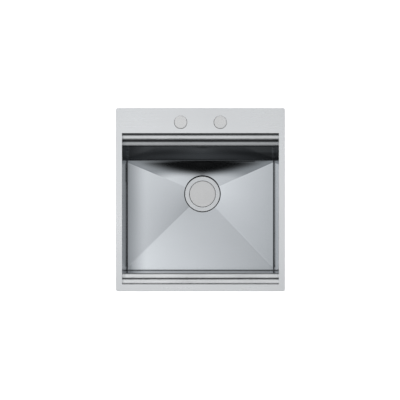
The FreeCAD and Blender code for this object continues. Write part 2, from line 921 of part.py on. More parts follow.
# Control knob: heights follow the deck
knob_flange_z = deck_top + knob_gasket_thickness
knob_flange_top = knob_flange_z + knob_flange_thickness
knob_foot = knob_flange_top + knob_gap
knob_top = knob_foot + knob_height
sleeve_foot = deck_top - sleeve_length
retainer_z = sleeve_foot - knob_gap - retainer_thickness
drum_top = retainer_z - knob_gap
drum_foot = drum_top - drum_height
well_floor = drum_foot - drum_gap
well_foot = well_floor - drum_housing_wall
well_top = sleeve_foot + drum_housing_grip
cable_z = (drum_top + drum_foot) / 2
cable_x = knob_x + drum_radius - drum_groove


def make_deck_gasket(x):
    outer = knob_radius - knob_gasket_set_in
    return ring(deck_hole_radius, outer, x, hole_y, deck_top, knob_flange_z)


def bevelled_disc(x, z0, z1):
    profile = [
        (0, z0),
        (knob_radius, z0),
        (knob_radius, z1 - knob_bevel),
        (knob_radius - knob_bevel, z1),
        (0, z1),
    ]
    return turned(profile, x, hole_y)


def make_knob_cap():
    cap = bevelled_disc(knob_x, knob_foot, knob_top)
    return cap.cut(rod(knob_socket_radius, knob_x, hole_y, knob_foot - over, knob_foot + knob_socket))


def make_spindle_ring():
    inner = spindle_radius - hub_gap
    return ring(inner, retainer_radius, knob_x, hole_y, retainer_z, retainer_z + retainer_thickness)


def make_knob_spindle():
    body = rod(spindle_radius, knob_x, hole_y, drum_foot, knob_foot)
    end = rod(knob_socket_radius, knob_x, hole_y, knob_foot, knob_foot + knob_socket)
    return joined([body, end]).cut(make_spindle_ring())


def make_knob_body():
    flange = rod(knob_radius - knob_flange_set_in, knob_x, hole_y, knob_flange_z, knob_flange_top)
    sleeve = rod(sleeve_radius, knob_x, hole_y, sleeve_foot, knob_flange_z)
    bore = rod(spindle_radius + running_gap, knob_x, hole_y, sleeve_foot - over, knob_flange_top + over)
    return joined([flange, sleeve]).cut(bore)


def make_knob_washer():
    foot = under_plate - washer_thickness
    return ring(deck_hole_radius, washer_radius, knob_x, hole_y, foot, under_plate)


def make_knob_nut():
    head = under_plate - washer_thickness
    foot = head - nut_height
    hole = rod(sleeve_radius + nut_thread_gap, knob_x, hole_y, foot - over, head + over)
    return hexagon(nut_radius, knob_x, hole_y, foot, head).cut(hole)


def make_cable_drum():
    groove_half = drum_groove_height / 2
    bore = spindle_radius + hub_gap
    groove = drum_radius - drum_groove
    return turned([
        (bore, drum_foot),
        (drum_radius, drum_foot),
        (drum_radius, cable_z - groove_half),
        (groove, cable_z - groove_half),
        (groove, cable_z + groove_half),
        (drum_radius, cable_z + groove_half),
        (drum_radius, drum_top),
        (bore, drum_top),
    ], knob_x, hole_y)


def make_drum_housing():
    inner = sleeve_radius + nut_thread_gap
    outer = inner + drum_housing_wall
    well = turned([
        (0, well_foot),
        (outer, well_foot),
        (outer, well_top),
        (inner, well_top),
        (inner, well_floor),
        (0, well_floor),
    ], knob_x, hole_y)
    hole = Part.makeCylinder(gland_radius, 2 * outer, vec(cable_x, hole_y, cable_z), vec(0, -1, 0))
    pad = Part.makeCylinder(gland_collar_radius, outer, vec(cable_x, hole_y, cable_z), vec(0, -1, 0))
    pad = pad.cut(rod(inner, knob_x, hole_y, well_foot - over, well_top + over))
    return well.fuse(pad).cut(hole).removeSplitter()


def make_knob_gland():
    outer = sleeve_radius + nut_thread_gap + drum_housing_wall
    base = vec(cable_x, hole_y - outer + housing_wall, cable_z)
    return make_gland(base, vec(0, -1, 0))


# Cover of the spare hole
cover_foot = deck_top + knob_gasket_thickness
bolt_foot = cover_foot + cover_bolt_socket - cover_bolt_length
bridge_foot = under_plate - bridge_thickness


def make_hole_cover():
    cap = bevelled_disc(spare_x, cover_foot, cover_foot + cover_height)
    socket_top = cover_foot + cover_bolt_socket
    return cap.cut(rod(cover_bolt_radius, spare_x, hole_y, cover_foot - over, socket_top))


def make_cover_bolt():
    return rod(cover_bolt_radius, spare_x, hole_y, bolt_foot, cover_foot + cover_bolt_socket)


def make_cover_bridge():
    x0 = spare_x - bridge_length / 2
    y0 = hole_y - bridge_width / 2
    x1 = x0 + bridge_length
    bar = plate(x0, x1, y0, y0 + bridge_width, bridge_foot, under_plate, bridge_corner_radius)
    radius = cover_bolt_radius + bridge_gap
    return bar.cut(rod(radius, spare_x, hole_y, bridge_foot - over, under_plate + over))


def make_wing_nut():
    z0 = bridge_foot - wing_nut_height
    hub = rod(wing_nut_radius, spare_x, hole_y, z0, bridge_foot)
    half = wing_thickness / 2
    pieces = [hub]
    for side in (-1, 1):
        root = spare_x + side * wing_nut_radius / 2
        tip = spare_x + side * (wing_nut_radius + wing_length)
        x0 = min(root, tip)
        x1 = max(root, tip)
        wing_z = z0 - wing_height / 2
        pieces.append(block(x0, x1, hole_y - half, hole_y + half, wing_z, wing_z + wing_height))
    hole = rod(cover_bolt_radius + nut_thread_gap, spare_x, hole_y, z0 - wing_height, bridge_foot + over)
    return joined(pieces).cut(hole)


def save(name, shape):
    solids = shape.Solids
    if not solids or not shape.isValid():
        raise ValueError(name + " is not a sound solid")
    whole = solids[0] if len(solids) == 1 else Part.makeCompound(solids)
    whole.exportStep("parts/" + name + ".step")


os.makedirs("parts", exist_ok=True)
save("top_plate", make_top_plate())
save("bowl_shell", make_bowl_shell())
save("front_step_rail", make_rail(front_rail_path()))
save("rear_step_rail", make_rail(rear_rail_path()))
save("rim_gasket", make_rim_gasket())
save("clip_brackets", at_clips(make_clip_bracket()))
save("clip_hooks", at_clips(make_clip_hook()))
save("clip_screws", at_clips(make_clip_screw()))
save("side_pads", make_side_pads())
save("front_pad", make_front_pad())
save("rear_pad", make_rear_pad())
save("floor_pads", make_floor_pads())
save("waste_flange", make_waste_flange())
save("flange_gasket", make_flange_gasket())
save("body_gasket", make_body_gasket())
save("waste_body", make_waste_body())
save("pin_guide", make_pin_guide())
save("shaft_seal", make_shaft_seal())
save("lever_housing", make_lever_housing())
save("lever_cover", make_lever_cover())
save("cover_screws", make_cover_screws())
save("waste_cable_gland", make_waste_gland())
save("rocker_shaft", make_rocker_shaft())
save("lift_finger", make_lift_finger())
save("pull_lever", make_pull_lever())
save("lift_pin", make_lift_pin())
save("plug_cap", make_plug_cap())
save("plug_seal", make_plug_seal())
save("strainer_basket", make_strainer_basket())
save("plug_stem", make_plug_stem())
save("stem_nut", make_stem_nut())
save("knob_cap", make_knob_cap())
save("knob_spindle", make_knob_spindle())
save("spindle_ring", make_spindle_ring())
save("knob_body", make_knob_body())
save("knob_gasket", make_deck_gasket(knob_x))
save("knob_washer", make_knob_washer())
save("knob_nut", make_knob_nut())
save("cable_drum", make_cable_drum())
save("drum_housing", make_drum_housing())
save("knob_cable_gland", make_knob_gland())
save("hole_cover", make_hole_cover())
save("cover_gasket", make_deck_gasket(spare_x))
save("cover_bolt", make_cover_bolt())
save("cover_bridge", make_cover_bridge())
save("cover_nut", make_wing_nut())
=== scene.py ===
import math

import bmesh
import bpy
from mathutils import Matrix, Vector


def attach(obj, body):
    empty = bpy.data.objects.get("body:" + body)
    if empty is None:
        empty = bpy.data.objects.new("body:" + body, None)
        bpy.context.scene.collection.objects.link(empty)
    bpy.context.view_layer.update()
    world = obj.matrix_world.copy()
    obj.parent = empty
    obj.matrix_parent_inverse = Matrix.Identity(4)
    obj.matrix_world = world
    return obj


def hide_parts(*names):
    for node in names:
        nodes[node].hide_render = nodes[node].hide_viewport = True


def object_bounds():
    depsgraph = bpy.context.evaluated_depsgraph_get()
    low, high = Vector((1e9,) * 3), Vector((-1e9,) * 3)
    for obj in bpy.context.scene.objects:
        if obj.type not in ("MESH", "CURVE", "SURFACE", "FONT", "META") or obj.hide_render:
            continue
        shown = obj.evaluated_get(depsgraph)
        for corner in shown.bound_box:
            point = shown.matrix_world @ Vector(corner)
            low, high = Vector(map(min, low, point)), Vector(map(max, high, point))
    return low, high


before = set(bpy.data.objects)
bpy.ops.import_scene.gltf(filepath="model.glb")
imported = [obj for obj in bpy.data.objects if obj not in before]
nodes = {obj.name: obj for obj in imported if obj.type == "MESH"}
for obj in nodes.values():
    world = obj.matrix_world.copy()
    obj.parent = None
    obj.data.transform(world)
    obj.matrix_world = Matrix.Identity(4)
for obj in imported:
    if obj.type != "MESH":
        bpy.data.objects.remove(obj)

cad_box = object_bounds()

# The camera looks straight down from above the middle of the sink, as the photograph does.
# One pixel of the 400 is 2.777 mm at the height of the rim.
camera_place = (-0.00125, -0.00083, 2.933)
rim_top = 0.003
seen_width = 1.1108
film_width = 36

camera_data = bpy.data.cameras.new("camera")
camera_data.sensor_width = film_width
camera_data.lens = film_width * (camera_place[2] - rim_top) / seen_width
camera = bpy.data.objects.new("camera", camera_data)
camera.location = camera_place
bpy.context.scene.collection.objects.link(camera)
bpy.context.scene.camera = camera

# The floor is a plain white studio floor, a little below the waste outlet.
# It glows white, so no shadow of the sink shows on it, as in the photograph.
floor_drop = 0.06
floor_half = 6.0
floor_white = (0.9, 0.9, 0.9, 1)
floor_roughness = 0.9
floor_glow = 1.0

bpy.ops.object.select_all(action="DESELECT")
floor_z = cad_box[0].z - floor_drop
bpy.ops.mesh.primitive_plane_add(size=2 * floor_half, location=(0, 0, floor_z))
floor = bpy.context.object
floor.name = "studio_floor"
bpy.ops.object.transform_apply(location=True, rotation=True, scale=True)
floor_paint = bpy.data.materials.new("studio_white")
floor_paint.use_nodes = True
floor_shader = floor_paint.node_tree.nodes["Principled BSDF"]
floor_shader.inputs["Base Color"].default_value = floor_white
floor_shader.inputs["Roughness"].default_value = floor_roughness
floor_shader.inputs["Emission Color"].default_value = (1, 1, 1, 1)
floor_shader.inputs["Emission Strength"].default_value = floor_glow
floor.data.materials.append(floor_paint)

# The light is a plain studio: a large soft panel overhead, a dark ceiling just round it, and
# walls that grow paler downward. The panel is a little brighter to the left and the front.
studio_tint = (0.98, 0.99, 1.0, 1)
panel_glow = 1.38
panel_drift = (-1.5, -1.7)
panel_sides = (-0.24, 0.26)
panel_ends = (-0.15, 0.25)
panel_softness = (0.05, 0.09)
room_glow = 0.01
ceiling_glow = 0.2
ceiling_rise = (0.97, 0.82)
side_glow = 0.45
side_rise = (0.8, 0.64)
wall_glow = 0.42
wall_rise = (0.3, 0.16)
lowest_rise = 0.05


class Value:
    """A shader socket that Python's operators join with Math nodes."""

    def __init__(self, tree, socket):
        self.tree = tree
        self.socket = socket

    def node(self, kind, inputs, output=0, stops=None, **settings):
        """Any other node: its settings come first, then the values or links of its sockets."""
        made = self.tree.nodes.new(kind)
        for name, value in settings.items():
            setattr(made, name, value)
        if stops:
            ramp = made.color_ramp.elements
            while len(ramp) < len(stops):
                ramp.new(1)
            for element, (place, colour) in zip(ramp, stops):
                element.position = place
                element.color = colour
        for name, value in inputs.items():
            if isinstance(value, Value):
                self.tree.links.new(value.socket, made.inputs[name])
            else:
                made.inputs[name].default_value = value
        return Value(self.tree, made.outputs[output])

    def split(self):
        """The three numbers of a vector."""
        parts = self.tree.nodes.new("ShaderNodeSeparateXYZ")
        self.tree.links.new(self.socket, parts.inputs[0])
        return [Value(self.tree, output) for output in parts.outputs]

    def math(self, operation, first, second=0.0):
        return self.node("ShaderNodeMath", {0: first, 1: second}, operation=operation)

    def __add__(self, other):
        return self.math("ADD", self, other)

    def __radd__(self, other):
        return self.math("ADD", other, self)

    def __sub__(self, other):
        return self.math("SUBTRACT", self, other)

    def __rsub__(self, other):
        return self.math("SUBTRACT", other, self)

    def __mul__(self, other):
        return self.math("MULTIPLY", self, other)

    def __rmul__(self, other):
        return self.math("MULTIPLY", other, self)


bpy.context.scene.view_settings.view_transform = "Standard"
world = bpy.data.worlds.new("studio_room")
bpy.context.scene.world = world
world.use_nodes = True
sky = world.node_tree
direction = Value(sky, sky.nodes.new("ShaderNodeTexCoord").outputs["Generated"])
to_right, to_rear, rise = direction.split()
upward = direction.math("MAXIMUM", rise, lowest_rise)
right_slope = direction.math("DIVIDE", to_right, upward)
rear_slope = direction.math("DIVIDE", to_rear, upward)


def fade(value, dark, bright):
    """A smooth step from 0 where a value is dark to 1 where it is bright."""
    return value.node(
        "ShaderNodeMapRange", {"Value": value, "From Min": dark, "From Max": bright},
        interpolation_type="SMOOTHSTEP")


panel = 1.0
for slope, (low, high), soft in (
        (right_slope, panel_sides, panel_softness[0]), (rear_slope, panel_ends, panel_softness[1])):
    panel = panel * fade(slope, low - soft, low + soft)
    panel = panel * fade(slope, high + soft, high - soft)
overhead = fade(rise, 0.0, lowest_rise)
shine = panel_glow + right_slope * panel_drift[0] + rear_slope * panel_drift[1]
room = room_glow + fade(rise, *ceiling_rise) * ceiling_glow
room = room + fade(rise, *side_rise) * side_glow + fade(rise, *wall_rise) * wall_glow
glow = room + panel * overhead * shine
background = sky.nodes["Background"]
background.inputs["Color"].default_value = studio_tint
sky.links.new(glow.socket, background.inputs["Strength"])

# Top plate: the flat rim and rear deck, cut from one stainless sheet and turned down all round.
# It is satin brushed from side to side, which gives it a fine straight grain. Its colour is painted a
# little darker towards the left, as painted shade that evens out the panel's brighter light on that
# side.
rim_dark = (0.705, 0.715, 0.725)
rim_light = (0.755, 0.765, 0.775)
rim_roughness = 0.28
rim_unevenness = 0.03
rim_fine_share = 0.6
rim_coarse_share = 0.12
rim_cloud_share = 0.28
rim_painted_shade_offset = 0.6
rim_painted_shade_drift = 2.4
brush_grain = (14.0, 2600.0, 2600.0)
wide_grain = (5.0, 420.0, 420.0)
cloud_grain = (6.0, 6.0, 6.0)
cloud_detail = 2.0
brush_strength = 0.06
brush_depth = 0.00004
noise_middle = 0.5


def new_finish(name, **constants):
    """A material with its shader's constant sockets set, and its Object coordinates."""
    material = bpy.data.materials.new(name)
    material.use_nodes = True
    shader = material.node_tree.nodes["Principled BSDF"]
    for socket, value in constants.items():
        shader.inputs[socket.replace("_", " ").title().replace("Ior", "IOR")].default_value = value
    tree = material.node_tree
    place = Value(tree, tree.nodes.new("ShaderNodeTexCoord").outputs["Object"])
    return material, shader, place


def drive(shader, **links):
    """Joins values to the shader's sockets that change over the surface."""
    for socket, value in links.items():
        value.tree.links.new(value.socket, shader.inputs[socket.replace("_", " ").title()])


def tone(value, dark, light):
    """A colour between two colours, by a value from 0 to 1."""
    return value.node(
        "ShaderNodeMix", {0: value, 6: (*dark, 1), 7: (*light, 1)}, output=2, data_type="RGBA")


def grain(place, stretch, detail=4.0):
    """Noise from 0 to 1 that is stretched into streaks by a scale for each axis."""
    mapped = place.node("ShaderNodeMapping", {"Vector": place, "Scale": stretch})
    return place.node("ShaderNodeTexNoise", {"Vector": mapped, "Scale": 1.0, "Detail": detail})


def bump(place, height, strength, distance):
    """A normal that is tilted as if the surface had small heights."""
    return place.node(
        "ShaderNodeBump", {"Height": height, "Strength": strength, "Distance": distance})


def dress(material, *names):
    """Gives the surfaces of CAD nodes one material."""
    for name in names:
        mesh = nodes[name].data
        if not mesh.materials:
            mesh.materials.append(material)
        for i in range(len(mesh.materials)):
            mesh.materials[i] = material


rim_steel, rim_shader, place = new_finish("rim_steel", metallic=1.0)
right, _, _ = place.split()
fine = grain(place, brush_grain)
coarse = grain(place, wide_grain, cloud_detail)
cloud = grain(place, cloud_grain, cloud_detail)
shade = fine * rim_fine_share + coarse * rim_coarse_share + cloud * rim_cloud_share
# Painted shade: the colour drifts darker towards the left, against the panel's brighter light there.
shade = shade - rim_painted_shade_offset + right * rim_painted_shade_drift
rough = rim_roughness + (coarse - noise_middle) * rim_unevenness
rough = rough + (cloud - noise_middle) * rim_unevenness
drive(rim_shader, base_color=tone(shade, rim_dark, rim_light), roughness=rough,
      normal=bump(place, fine, brush_strength, brush_depth))
dress(rim_steel, "top_plate")

# Bowl: one blank folded up on four sides and welded at its upright corners.
# The floor is pressed into four slopes that meet in creases at the drain. Pressed sheet
# springs: the long slopes bulge a little and the rear one is dished below its wall.
floor_level = -0.2
floor_fall = 0.01
floor_sheet = 0.0012
bowl_half = 0.2145
floor_ends = (-0.2022, 0.1097)
dish_end = 0.1157
drain_place = (0.006, 0.017, 0)
seat_level = -0.21
seat_edge = 0.06
slope_bulge = 0.0004
steep_reach = 0.033
steep_waist = 0.8
steep_limit = 0.8
steep_blend = 1.7
steepness = 4.0
margin_line = -0.2072
front_tilt = 0.046
fold_angle = math.radians(25)

# The floor of the CAD bowl is cut into a fine net below one level, so that it can be pressed.
pressed_below = -0.19
cut_step = 0.006
flat_angle = math.radians(1)
merge_reach = 0.00001
thin_reach = 0.00003
sliver = 0.00005
near_sheet = 0.0001
near_crease = 0.0004


def copy_of_node(name, piece_name):
    """A new piece with a merged copy of a CAD node's mesh."""
    piece = bpy.data.objects.new(piece_name, nodes[name].data.copy())
    bpy.context.scene.collection.objects.link(piece)
    piece.data.materials.clear()
    bpy.ops.object.select_all(action="DESELECT")
    piece.select_set(True)
    bpy.context.view_layer.objects.active = piece
    bpy.ops.mesh.customdata_custom_splitnormals_clear()
    bpy.ops.object.mode_set(mode="EDIT")
    bpy.ops.mesh.select_all(action="SELECT")
    bpy.ops.mesh.remove_doubles(threshold=merge_reach)
    bpy.ops.mesh.dissolve_degenerate(threshold=thin_reach)
    bpy.ops.object.mode_set(mode="OBJECT")
    return piece


def slope_share(x, y, first, second):
    """How far along and down the slope between two floor corners a point lies."""
    edge = (second[0] - first[0], second[1] - first[1])
    run = (drain_place[0] - first[0], drain_place[1] - first[1])
    area = edge[0] * run[1] - edge[1] * run[0]
    point = (x - first[0], y - first[1])
    down = (edge[0] * point[1] - edge[1] * point[0]) / area
    along = (point[0] * run[1] - point[1] * run[0]) / area
    return along, down


def down_crease(x):
    """How far down the floor a rear crease is at a place across the bowl, from 0 to 1."""
    side = bowl_half - drain_place[0] if x > drain_place[0] else bowl_half + drain_place[0]
    return max(0.0, 1 - abs(x - drain_place[0]) / side)


def rear_slope_share(x, back):
    """How much of its fall the rear slope has made at a distance in front of its wall.

    It falls steeply for a stretch that is longest in the middle, blends, and falls gently on.
    """
    width = dish_end - floor_ends[1] + (floor_ends[1] - drain_place[1]) * down_crease(x)
    u = min(1.0, back / width)
    across = max(0.0, 1 - (x / bowl_half) ** 2)
    middle = min(steep_limit, steep_reach * across ** steep_waist / width)
    blend = steep_blend * middle
    t = min(1.0, max(0.0, (u - middle + blend / 2) / blend)) if blend else 1.0
    steep = min(u, middle - blend / 2) + blend * (t - t ** 3 + t ** 4 / 2)
    return ((steepness - 1) * steep + u) / ((steepness - 1) * middle + 1)


corners = [(-bowl_half, floor_ends[1]), (-bowl_half, floor_ends[0]),
           (bowl_half, floor_ends[0]), (bowl_half, floor_ends[1])]


def floor_shift(x, y):
    """The flat floor's height at a point and how far pressing moved it up or down."""
    height = floor_level
    shift = 0.0
    for i in range(3):
        along, down = slope_share(x, y, corners[i], corners[i + 1])
        if down >= 0 and 0 <= along <= 1 - down:
            height = floor_level - floor_fall * down
            shift = 4 * slope_bulge * down * (1 - down)
    along, down = slope_share(x, y, corners[3], corners[0])
    if y > floor_ends[1] or down >= 0 and 0 <= along <= 1 - down:
        height = floor_level - floor_fall * max(0.0, down)
        crease = down_crease(x)
        fall = floor_fall * crease - 4 * slope_bulge * crease * (1 - crease)
        back = max(0.0, dish_end - y)
        shift = floor_level - fall * rear_slope_share(x, back) - height
    shift += front_tilt * min(max(floor_ends[0] - y, 0.0), floor_ends[0] - margin_line)
    return height, shift


def on_crease(x, y):
    """Whether a point lies where the pressed slopes meet each other or the flat margins."""
    if min(abs(y - line) for line in (*floor_ends, margin_line)) < near_sheet:
        return True
    for corner in corners:
        run = (drain_place[0] - corner[0], drain_place[1] - corner[1])
        off = ((x - corner[0]) * run[1] - (y - corner[1]) * run[0]) / math.hypot(*run)
        if abs(off) < near_crease:
            return True
    return False


def select_floor(piece):
    """Selects the faces below the level that pressing reaches, in edit mode."""
    mesh = bmesh.from_edit_mesh(piece.data)
    for face in mesh.faces:
        face.select_set(max(vert.co.z for vert in face.verts) < pressed_below)
    bmesh.update_edit_mesh(piece.data)


bowl = copy_of_node("bowl_shell", "bowl_sheet")
bpy.ops.object.mode_set(mode="EDIT")
for axis, low, high in ((0, -bowl_half, bowl_half), (1, floor_ends[0], dish_end)):
    cut_across = [0, 0, 0]
    cut_across[axis] = 1
    for i in range(1, round((high - low) / cut_step)):
        select_floor(bowl)
        cut_place = [0, 0, 0]
        cut_place[axis] = low + i * cut_step
        bpy.ops.mesh.bisect(plane_co=cut_place, plane_no=cut_across)
        bpy.ops.mesh.mark_seam()
select_floor(bowl)
bpy.ops.mesh.dissolve_limited(angle_limit=flat_angle, delimit={"SEAM"})
bpy.ops.mesh.remove_doubles(threshold=sliver)
mesh = bmesh.from_edit_mesh(bowl.data)
for vert in mesh.verts:
    x, y, z = vert.co
    height, shift = floor_shift(x, y)
    on_sheet = min(abs(z - height), abs(z - height + floor_sheet)) < near_sheet
    by_seat = math.hypot(x - drain_place[0], y - drain_place[1]) < seat_edge
    if by_seat and not on_sheet:
        shift *= min(1.0, max(0.0, (z - seat_level) / (height - seat_level)))
    if z < pressed_below:
        vert.co.z += shift
mesh.normal_update()
for edge in mesh.edges:
    low = max(vert.co.z for vert in edge.verts) < floor_level + near_sheet
    creased = low and all(on_crease(*vert.co[:2]) for vert in edge.verts)
    edge.smooth = not creased and edge.calc_face_angle(math.pi) < fold_angle
for face in mesh.faces:
    face.smooth = True
bmesh.update_edit_mesh(bowl.data)
bpy.ops.object.mode_set(mode="OBJECT")

# The slopes carry a painted reflection: each is painted paler at one crease than at the other, and the
# floor is painted paler towards the left. Painted shade darkens the floor's left edge, the rear slope
# just below its wall, the middle of the rear wall and the lower half of the walls, and painted
# highlights make the walls paler towards their ends and the rear. Turns round the drain start at the
# left and go by the front.
bowl_dark = (0.12, 0.13, 0.14)
bowl_light = (0.55, 0.57, 0.59)
bowl_roughness = 0.09
bowl_unevenness = 0.03
painted_sheen_tones = ((0.0, 0.475), (0.1244, 0.33), (0.1246, 0.565), (0.371, 0.73), (0.3712, 0.655),
               (0.5, 0.8), (0.5667, 0.825), (0.5669, 0.6), (0.9366, 0.6), (0.9368, 0.56),
               (1.0, 0.475))
painted_slope_drift = 1.5
rear_turns = (0.5668, 0.9367)
painted_left_shade_edge = (-0.155, -0.22)
painted_left_shade_share = 0.75
shaded_depth = 0.04
shaded_fade = (1.15, 0.5)
shaded_share = 0.82
wall_foot = (-0.199, -0.19)
wall_tone = 0.6
wall_end_highlight = 20.0
rear_highlight_tone = 1.2
rear_highlight_ends = (0.05, 0.11)
rear_wall_shade_tone = 1.3
rear_wall_shade_line = (0.11, 0.118)
rear_wall_shade_ends = (0.03, 0.002)
shade_band_levels = (-0.075, -0.135)
shade_band_share = 0.83
shade_band_drift = 0.6
streak_share = 0.12
cloud_share = 0.1

bowl_steel, bowl_shader, place = new_finish("bowl_steel", metallic=1.0)
right, rear, up = place.split()
turn = place.math("ARCTAN2", rear - drain_place[1], right - drain_place[0]) * (0.5 / math.pi) + 0.5
# Painted reflection: each slope's tone steps with its turn round the drain, and the floor is painted
# paler to the left.
painted_sheen = place.node("ShaderNodeValToRGB", {"Fac": turn}, stops=[
    (share, (grey, grey, grey, 1)) for share, grey in painted_sheen_tones])
fine = grain(place, brush_grain)
cloud = grain(place, cloud_grain, cloud_detail)
# Painted shade: the floor is darkened along its left edge and on the rear slope just below its wall.
painted_left_shade = fade(right, *painted_left_shade_edge) * painted_left_shade_share
from_wall = place.math("DIVIDE", dish_end - rear, right * right + shaded_depth)
on_rear = turn.math("GREATER_THAN", turn, rear_turns[0])
on_rear = on_rear * turn.math("LESS_THAN", turn, rear_turns[1])
shaded = fade(from_wall, *shaded_fade) * on_rear * shaded_share
slopes = (painted_sheen - right * painted_slope_drift) * (1.0 - painted_left_shade) * (1.0 - shaded)
wall = fade(up, *wall_foot)
# Painted light on the walls: highlights towards their ends and the rear, painted shade on the middle
# of the rear wall and on their lower half, stronger to the right.
rear_wall_shade = fade(rear, *rear_wall_shade_line) * fade(right * right, *rear_wall_shade_ends)
upright = wall_tone + right * right * wall_end_highlight + fade(rear, *rear_highlight_ends) * rear_highlight_tone
upright = upright - rear_wall_shade * rear_wall_shade_tone
upright = upright * (1.0 - fade(up, *shade_band_levels) * (shade_band_share + right * shade_band_drift))
shade = slopes + (upright - slopes) * wall
shade = shade + (fine - noise_middle) * streak_share + (cloud - noise_middle) * cloud_share
drive(bowl_shader, base_color=tone(shade, bowl_dark, bowl_light),
      roughness=bowl_roughness + cloud * bowl_unevenness,
      normal=bump(place, fine, brush_strength, brush_depth))
bowl.data.materials.append(bowl_steel)
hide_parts("bowl_shell")
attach(bowl, "sink")

# Corner welds: the upright corners of the folded bowl are welded outside in short ripples.
# They are left rough there, because only the inside is ground flush.
rear_lean = 13
weld_feet = (("front_left_weld", (-0.2189, -0.2101, -0.196), 0),
             ("front_right_weld", (0.2189, -0.2101, -0.196), 0),
             ("rear_left_weld", (-0.2189, 0.12, -0.196), rear_lean),
             ("rear_right_weld", (0.2189, 0.12, -0.196), rear_lean))
weld_dark = (0.35, 0.33, 0.3)
weld_light = (0.6, 0.58, 0.55)
weld_roughness = 0.3
weld_unevenness = 0.2
weld_strength = 0.3
weld_depth = 0.0001
ripple_radius = 0.0013
ripple_pitch = 0.0021
ripples = 62
ripple_grain = (300.0, 300.0, 900.0)
ripple_sides = 12
ripple_rings = 8
fine_detail = 3.0


def repeat(piece, count, offset):
    """Repeats the active piece's mesh in a row, each copy an offset away from the last."""
    row = piece.modifiers.new("row", "ARRAY")
    row.count = count
    row.use_relative_offset = False
    row.use_constant_offset = True
    row.constant_offset_displace = offset
    bpy.ops.object.modifier_apply(modifier=row.name)


weld_steel, weld_shader, place = new_finish("weld_steel", metallic=1.0)
ripple = grain(place, ripple_grain, fine_detail)
drive(weld_shader, base_color=tone(ripple, weld_dark, weld_light),
      roughness=weld_roughness + ripple * weld_unevenness,
      normal=bump(place, ripple, weld_strength, weld_depth))
for name, weld_foot, lean in weld_feet:
    bpy.ops.object.select_all(action="DESELECT")
    bpy.ops.mesh.primitive_uv_sphere_add(
        segments=ripple_sides, ring_count=ripple_rings, radius=ripple_radius)
    bead = bpy.context.object
    bead.name = name
    repeat(bead, ripples, (0, 0, ripple_pitch))
    bead.rotation_euler = (math.radians(-lean), 0, 0)
    bead.location = weld_foot
    bpy.ops.object.transform_apply(location=True, rotation=True, scale=True)
    bpy.ops.object.shade_smooth()
    bead.data.materials.append(weld_steel)
    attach(bead, "sink")

# Step rails: two folded strips welded below the front and rear edges of the opening.
# Boards and grids slide along their two ledges. The risers are painted darker than the ledges as
# painted shade, the front rail's risers almost black, and the rear rail's lower ledge is painted
# darker too.
ledge_levels = (-0.02, -0.045)
ledge_fade = (0.0035, 0.0005)
streak_part = 0.6
cloud_part = 0.4
rail_lift = 0.15
rail_roughness = 0.22
rail_unevenness = 0.04
rail_strength = 0.1
rail_depth = 0.00005


def rail_finish(name, painted_riser_share, painted_ledge_shares, dark, light, edge):
    """Brushed sheet with painted light and shade: its own share of brightness on the risers and on
    each ledge.
    """
    material, shader, place = new_finish(name, metallic=1.0, specular_tint=(edge, edge, edge, 1))
    _, _, up = place.split()
    part = painted_riser_share
    for level, share in zip(ledge_levels, painted_ledge_shares):
        on_ledge = fade(place.math("ABSOLUTE", up - level), *ledge_fade)
        part = part + on_ledge * (share - painted_riser_share)
    fine = grain(place, brush_grain)
    cloud = grain(place, cloud_grain, cloud_detail)
    shade = (fine * streak_part + cloud * cloud_part + rail_lift) * part
    drive(shader, base_color=tone(shade, dark, light),
          roughness=rail_roughness + cloud * rail_unevenness,
          normal=bump(place, fine, rail_strength, rail_depth))
    return material


# Painted shade: the front rail's risers are painted almost black, with a black grazing tint; the rear
# rail's risers and lower ledge are painted darker than its upper ledge.
front_rail_shaded_steel = rail_finish(
    "front_rail_shaded_steel", painted_riser_share=0.05, painted_ledge_shares=(1.0, 1.0), dark=(0.02, 0.021, 0.022),
    light=(0.98, 0.99, 1.0), edge=0.0)
rear_rail_shaded_steel = rail_finish(
    "rear_rail_shaded_steel", painted_riser_share=0.4, painted_ledge_shares=(1.0, 0.5), dark=(0.12, 0.125, 0.13),
    light=(0.76, 0.77, 0.78), edge=0.8)
dress(front_rail_shaded_steel, "front_step_rail")
dress(rear_rail_shaded_steel, "rear_step_rail")

# Waste flange and plug: both are turned from stainless steel, so their grain runs in rings.
# The basket, stem, lift pin and shaft below the plug are of the same steel.
ring_fineness = 1800.0
ring_cloud = (30.0, 30.0, 30.0)
ring_unevenness = 0.08
ring_strength = 0.15


def spun_steel(name, centre, dark, light, roughness):
    """Stainless steel with fine turning rings about an upright line."""
    material, shader, place = new_finish(name, metallic=1.0)
    centred = place.node("ShaderNodeVectorMath", {0: place, 1: centre}, operation="SUBTRACT")
    x, y, _ = centred.split()
    radius = place.math("SQRT", x * x + y * y)
    rings = place.node(
        "ShaderNodeTexNoise", {"W": radius * ring_fineness, "Scale": 1.0, "Detail": fine_detail},
        noise_dimensions="1D")
    cloud = grain(place, ring_cloud, cloud_detail)
    drive(shader, base_color=tone(rings * streak_part + cloud * cloud_part, dark, light),
          roughness=roughness + (rings - noise_middle) * ring_unevenness,
          normal=bump(place, rings, ring_strength, brush_depth))
    return material


flange_steel = spun_steel(
    "flange_steel", drain_place, (0.43, 0.44, 0.45), (0.56, 0.57, 0.58), roughness=0.24)
plug_steel = spun_steel(
    "plug_steel", drain_place, (0.55, 0.55, 0.55), (0.68, 0.68, 0.68), roughness=0.3)
dress(flange_steel, "waste_flange")
dress(plug_steel, "plug_cap", "strainer_basket", "plug_stem", "lift_pin", "rocker_shaft")

# Deck discs: the control knob on the left and the cover of the spare hole on the right.
# Both are turned from stainless steel, like the plug.
knob_place = (-0.055, 0.215, 0)
cover_place = (0.055, 0.215, 0)
disc_dark = (0.6, 0.6, 0.6)
disc_light = (0.72, 0.72, 0.72)
disc_roughness = 0.28

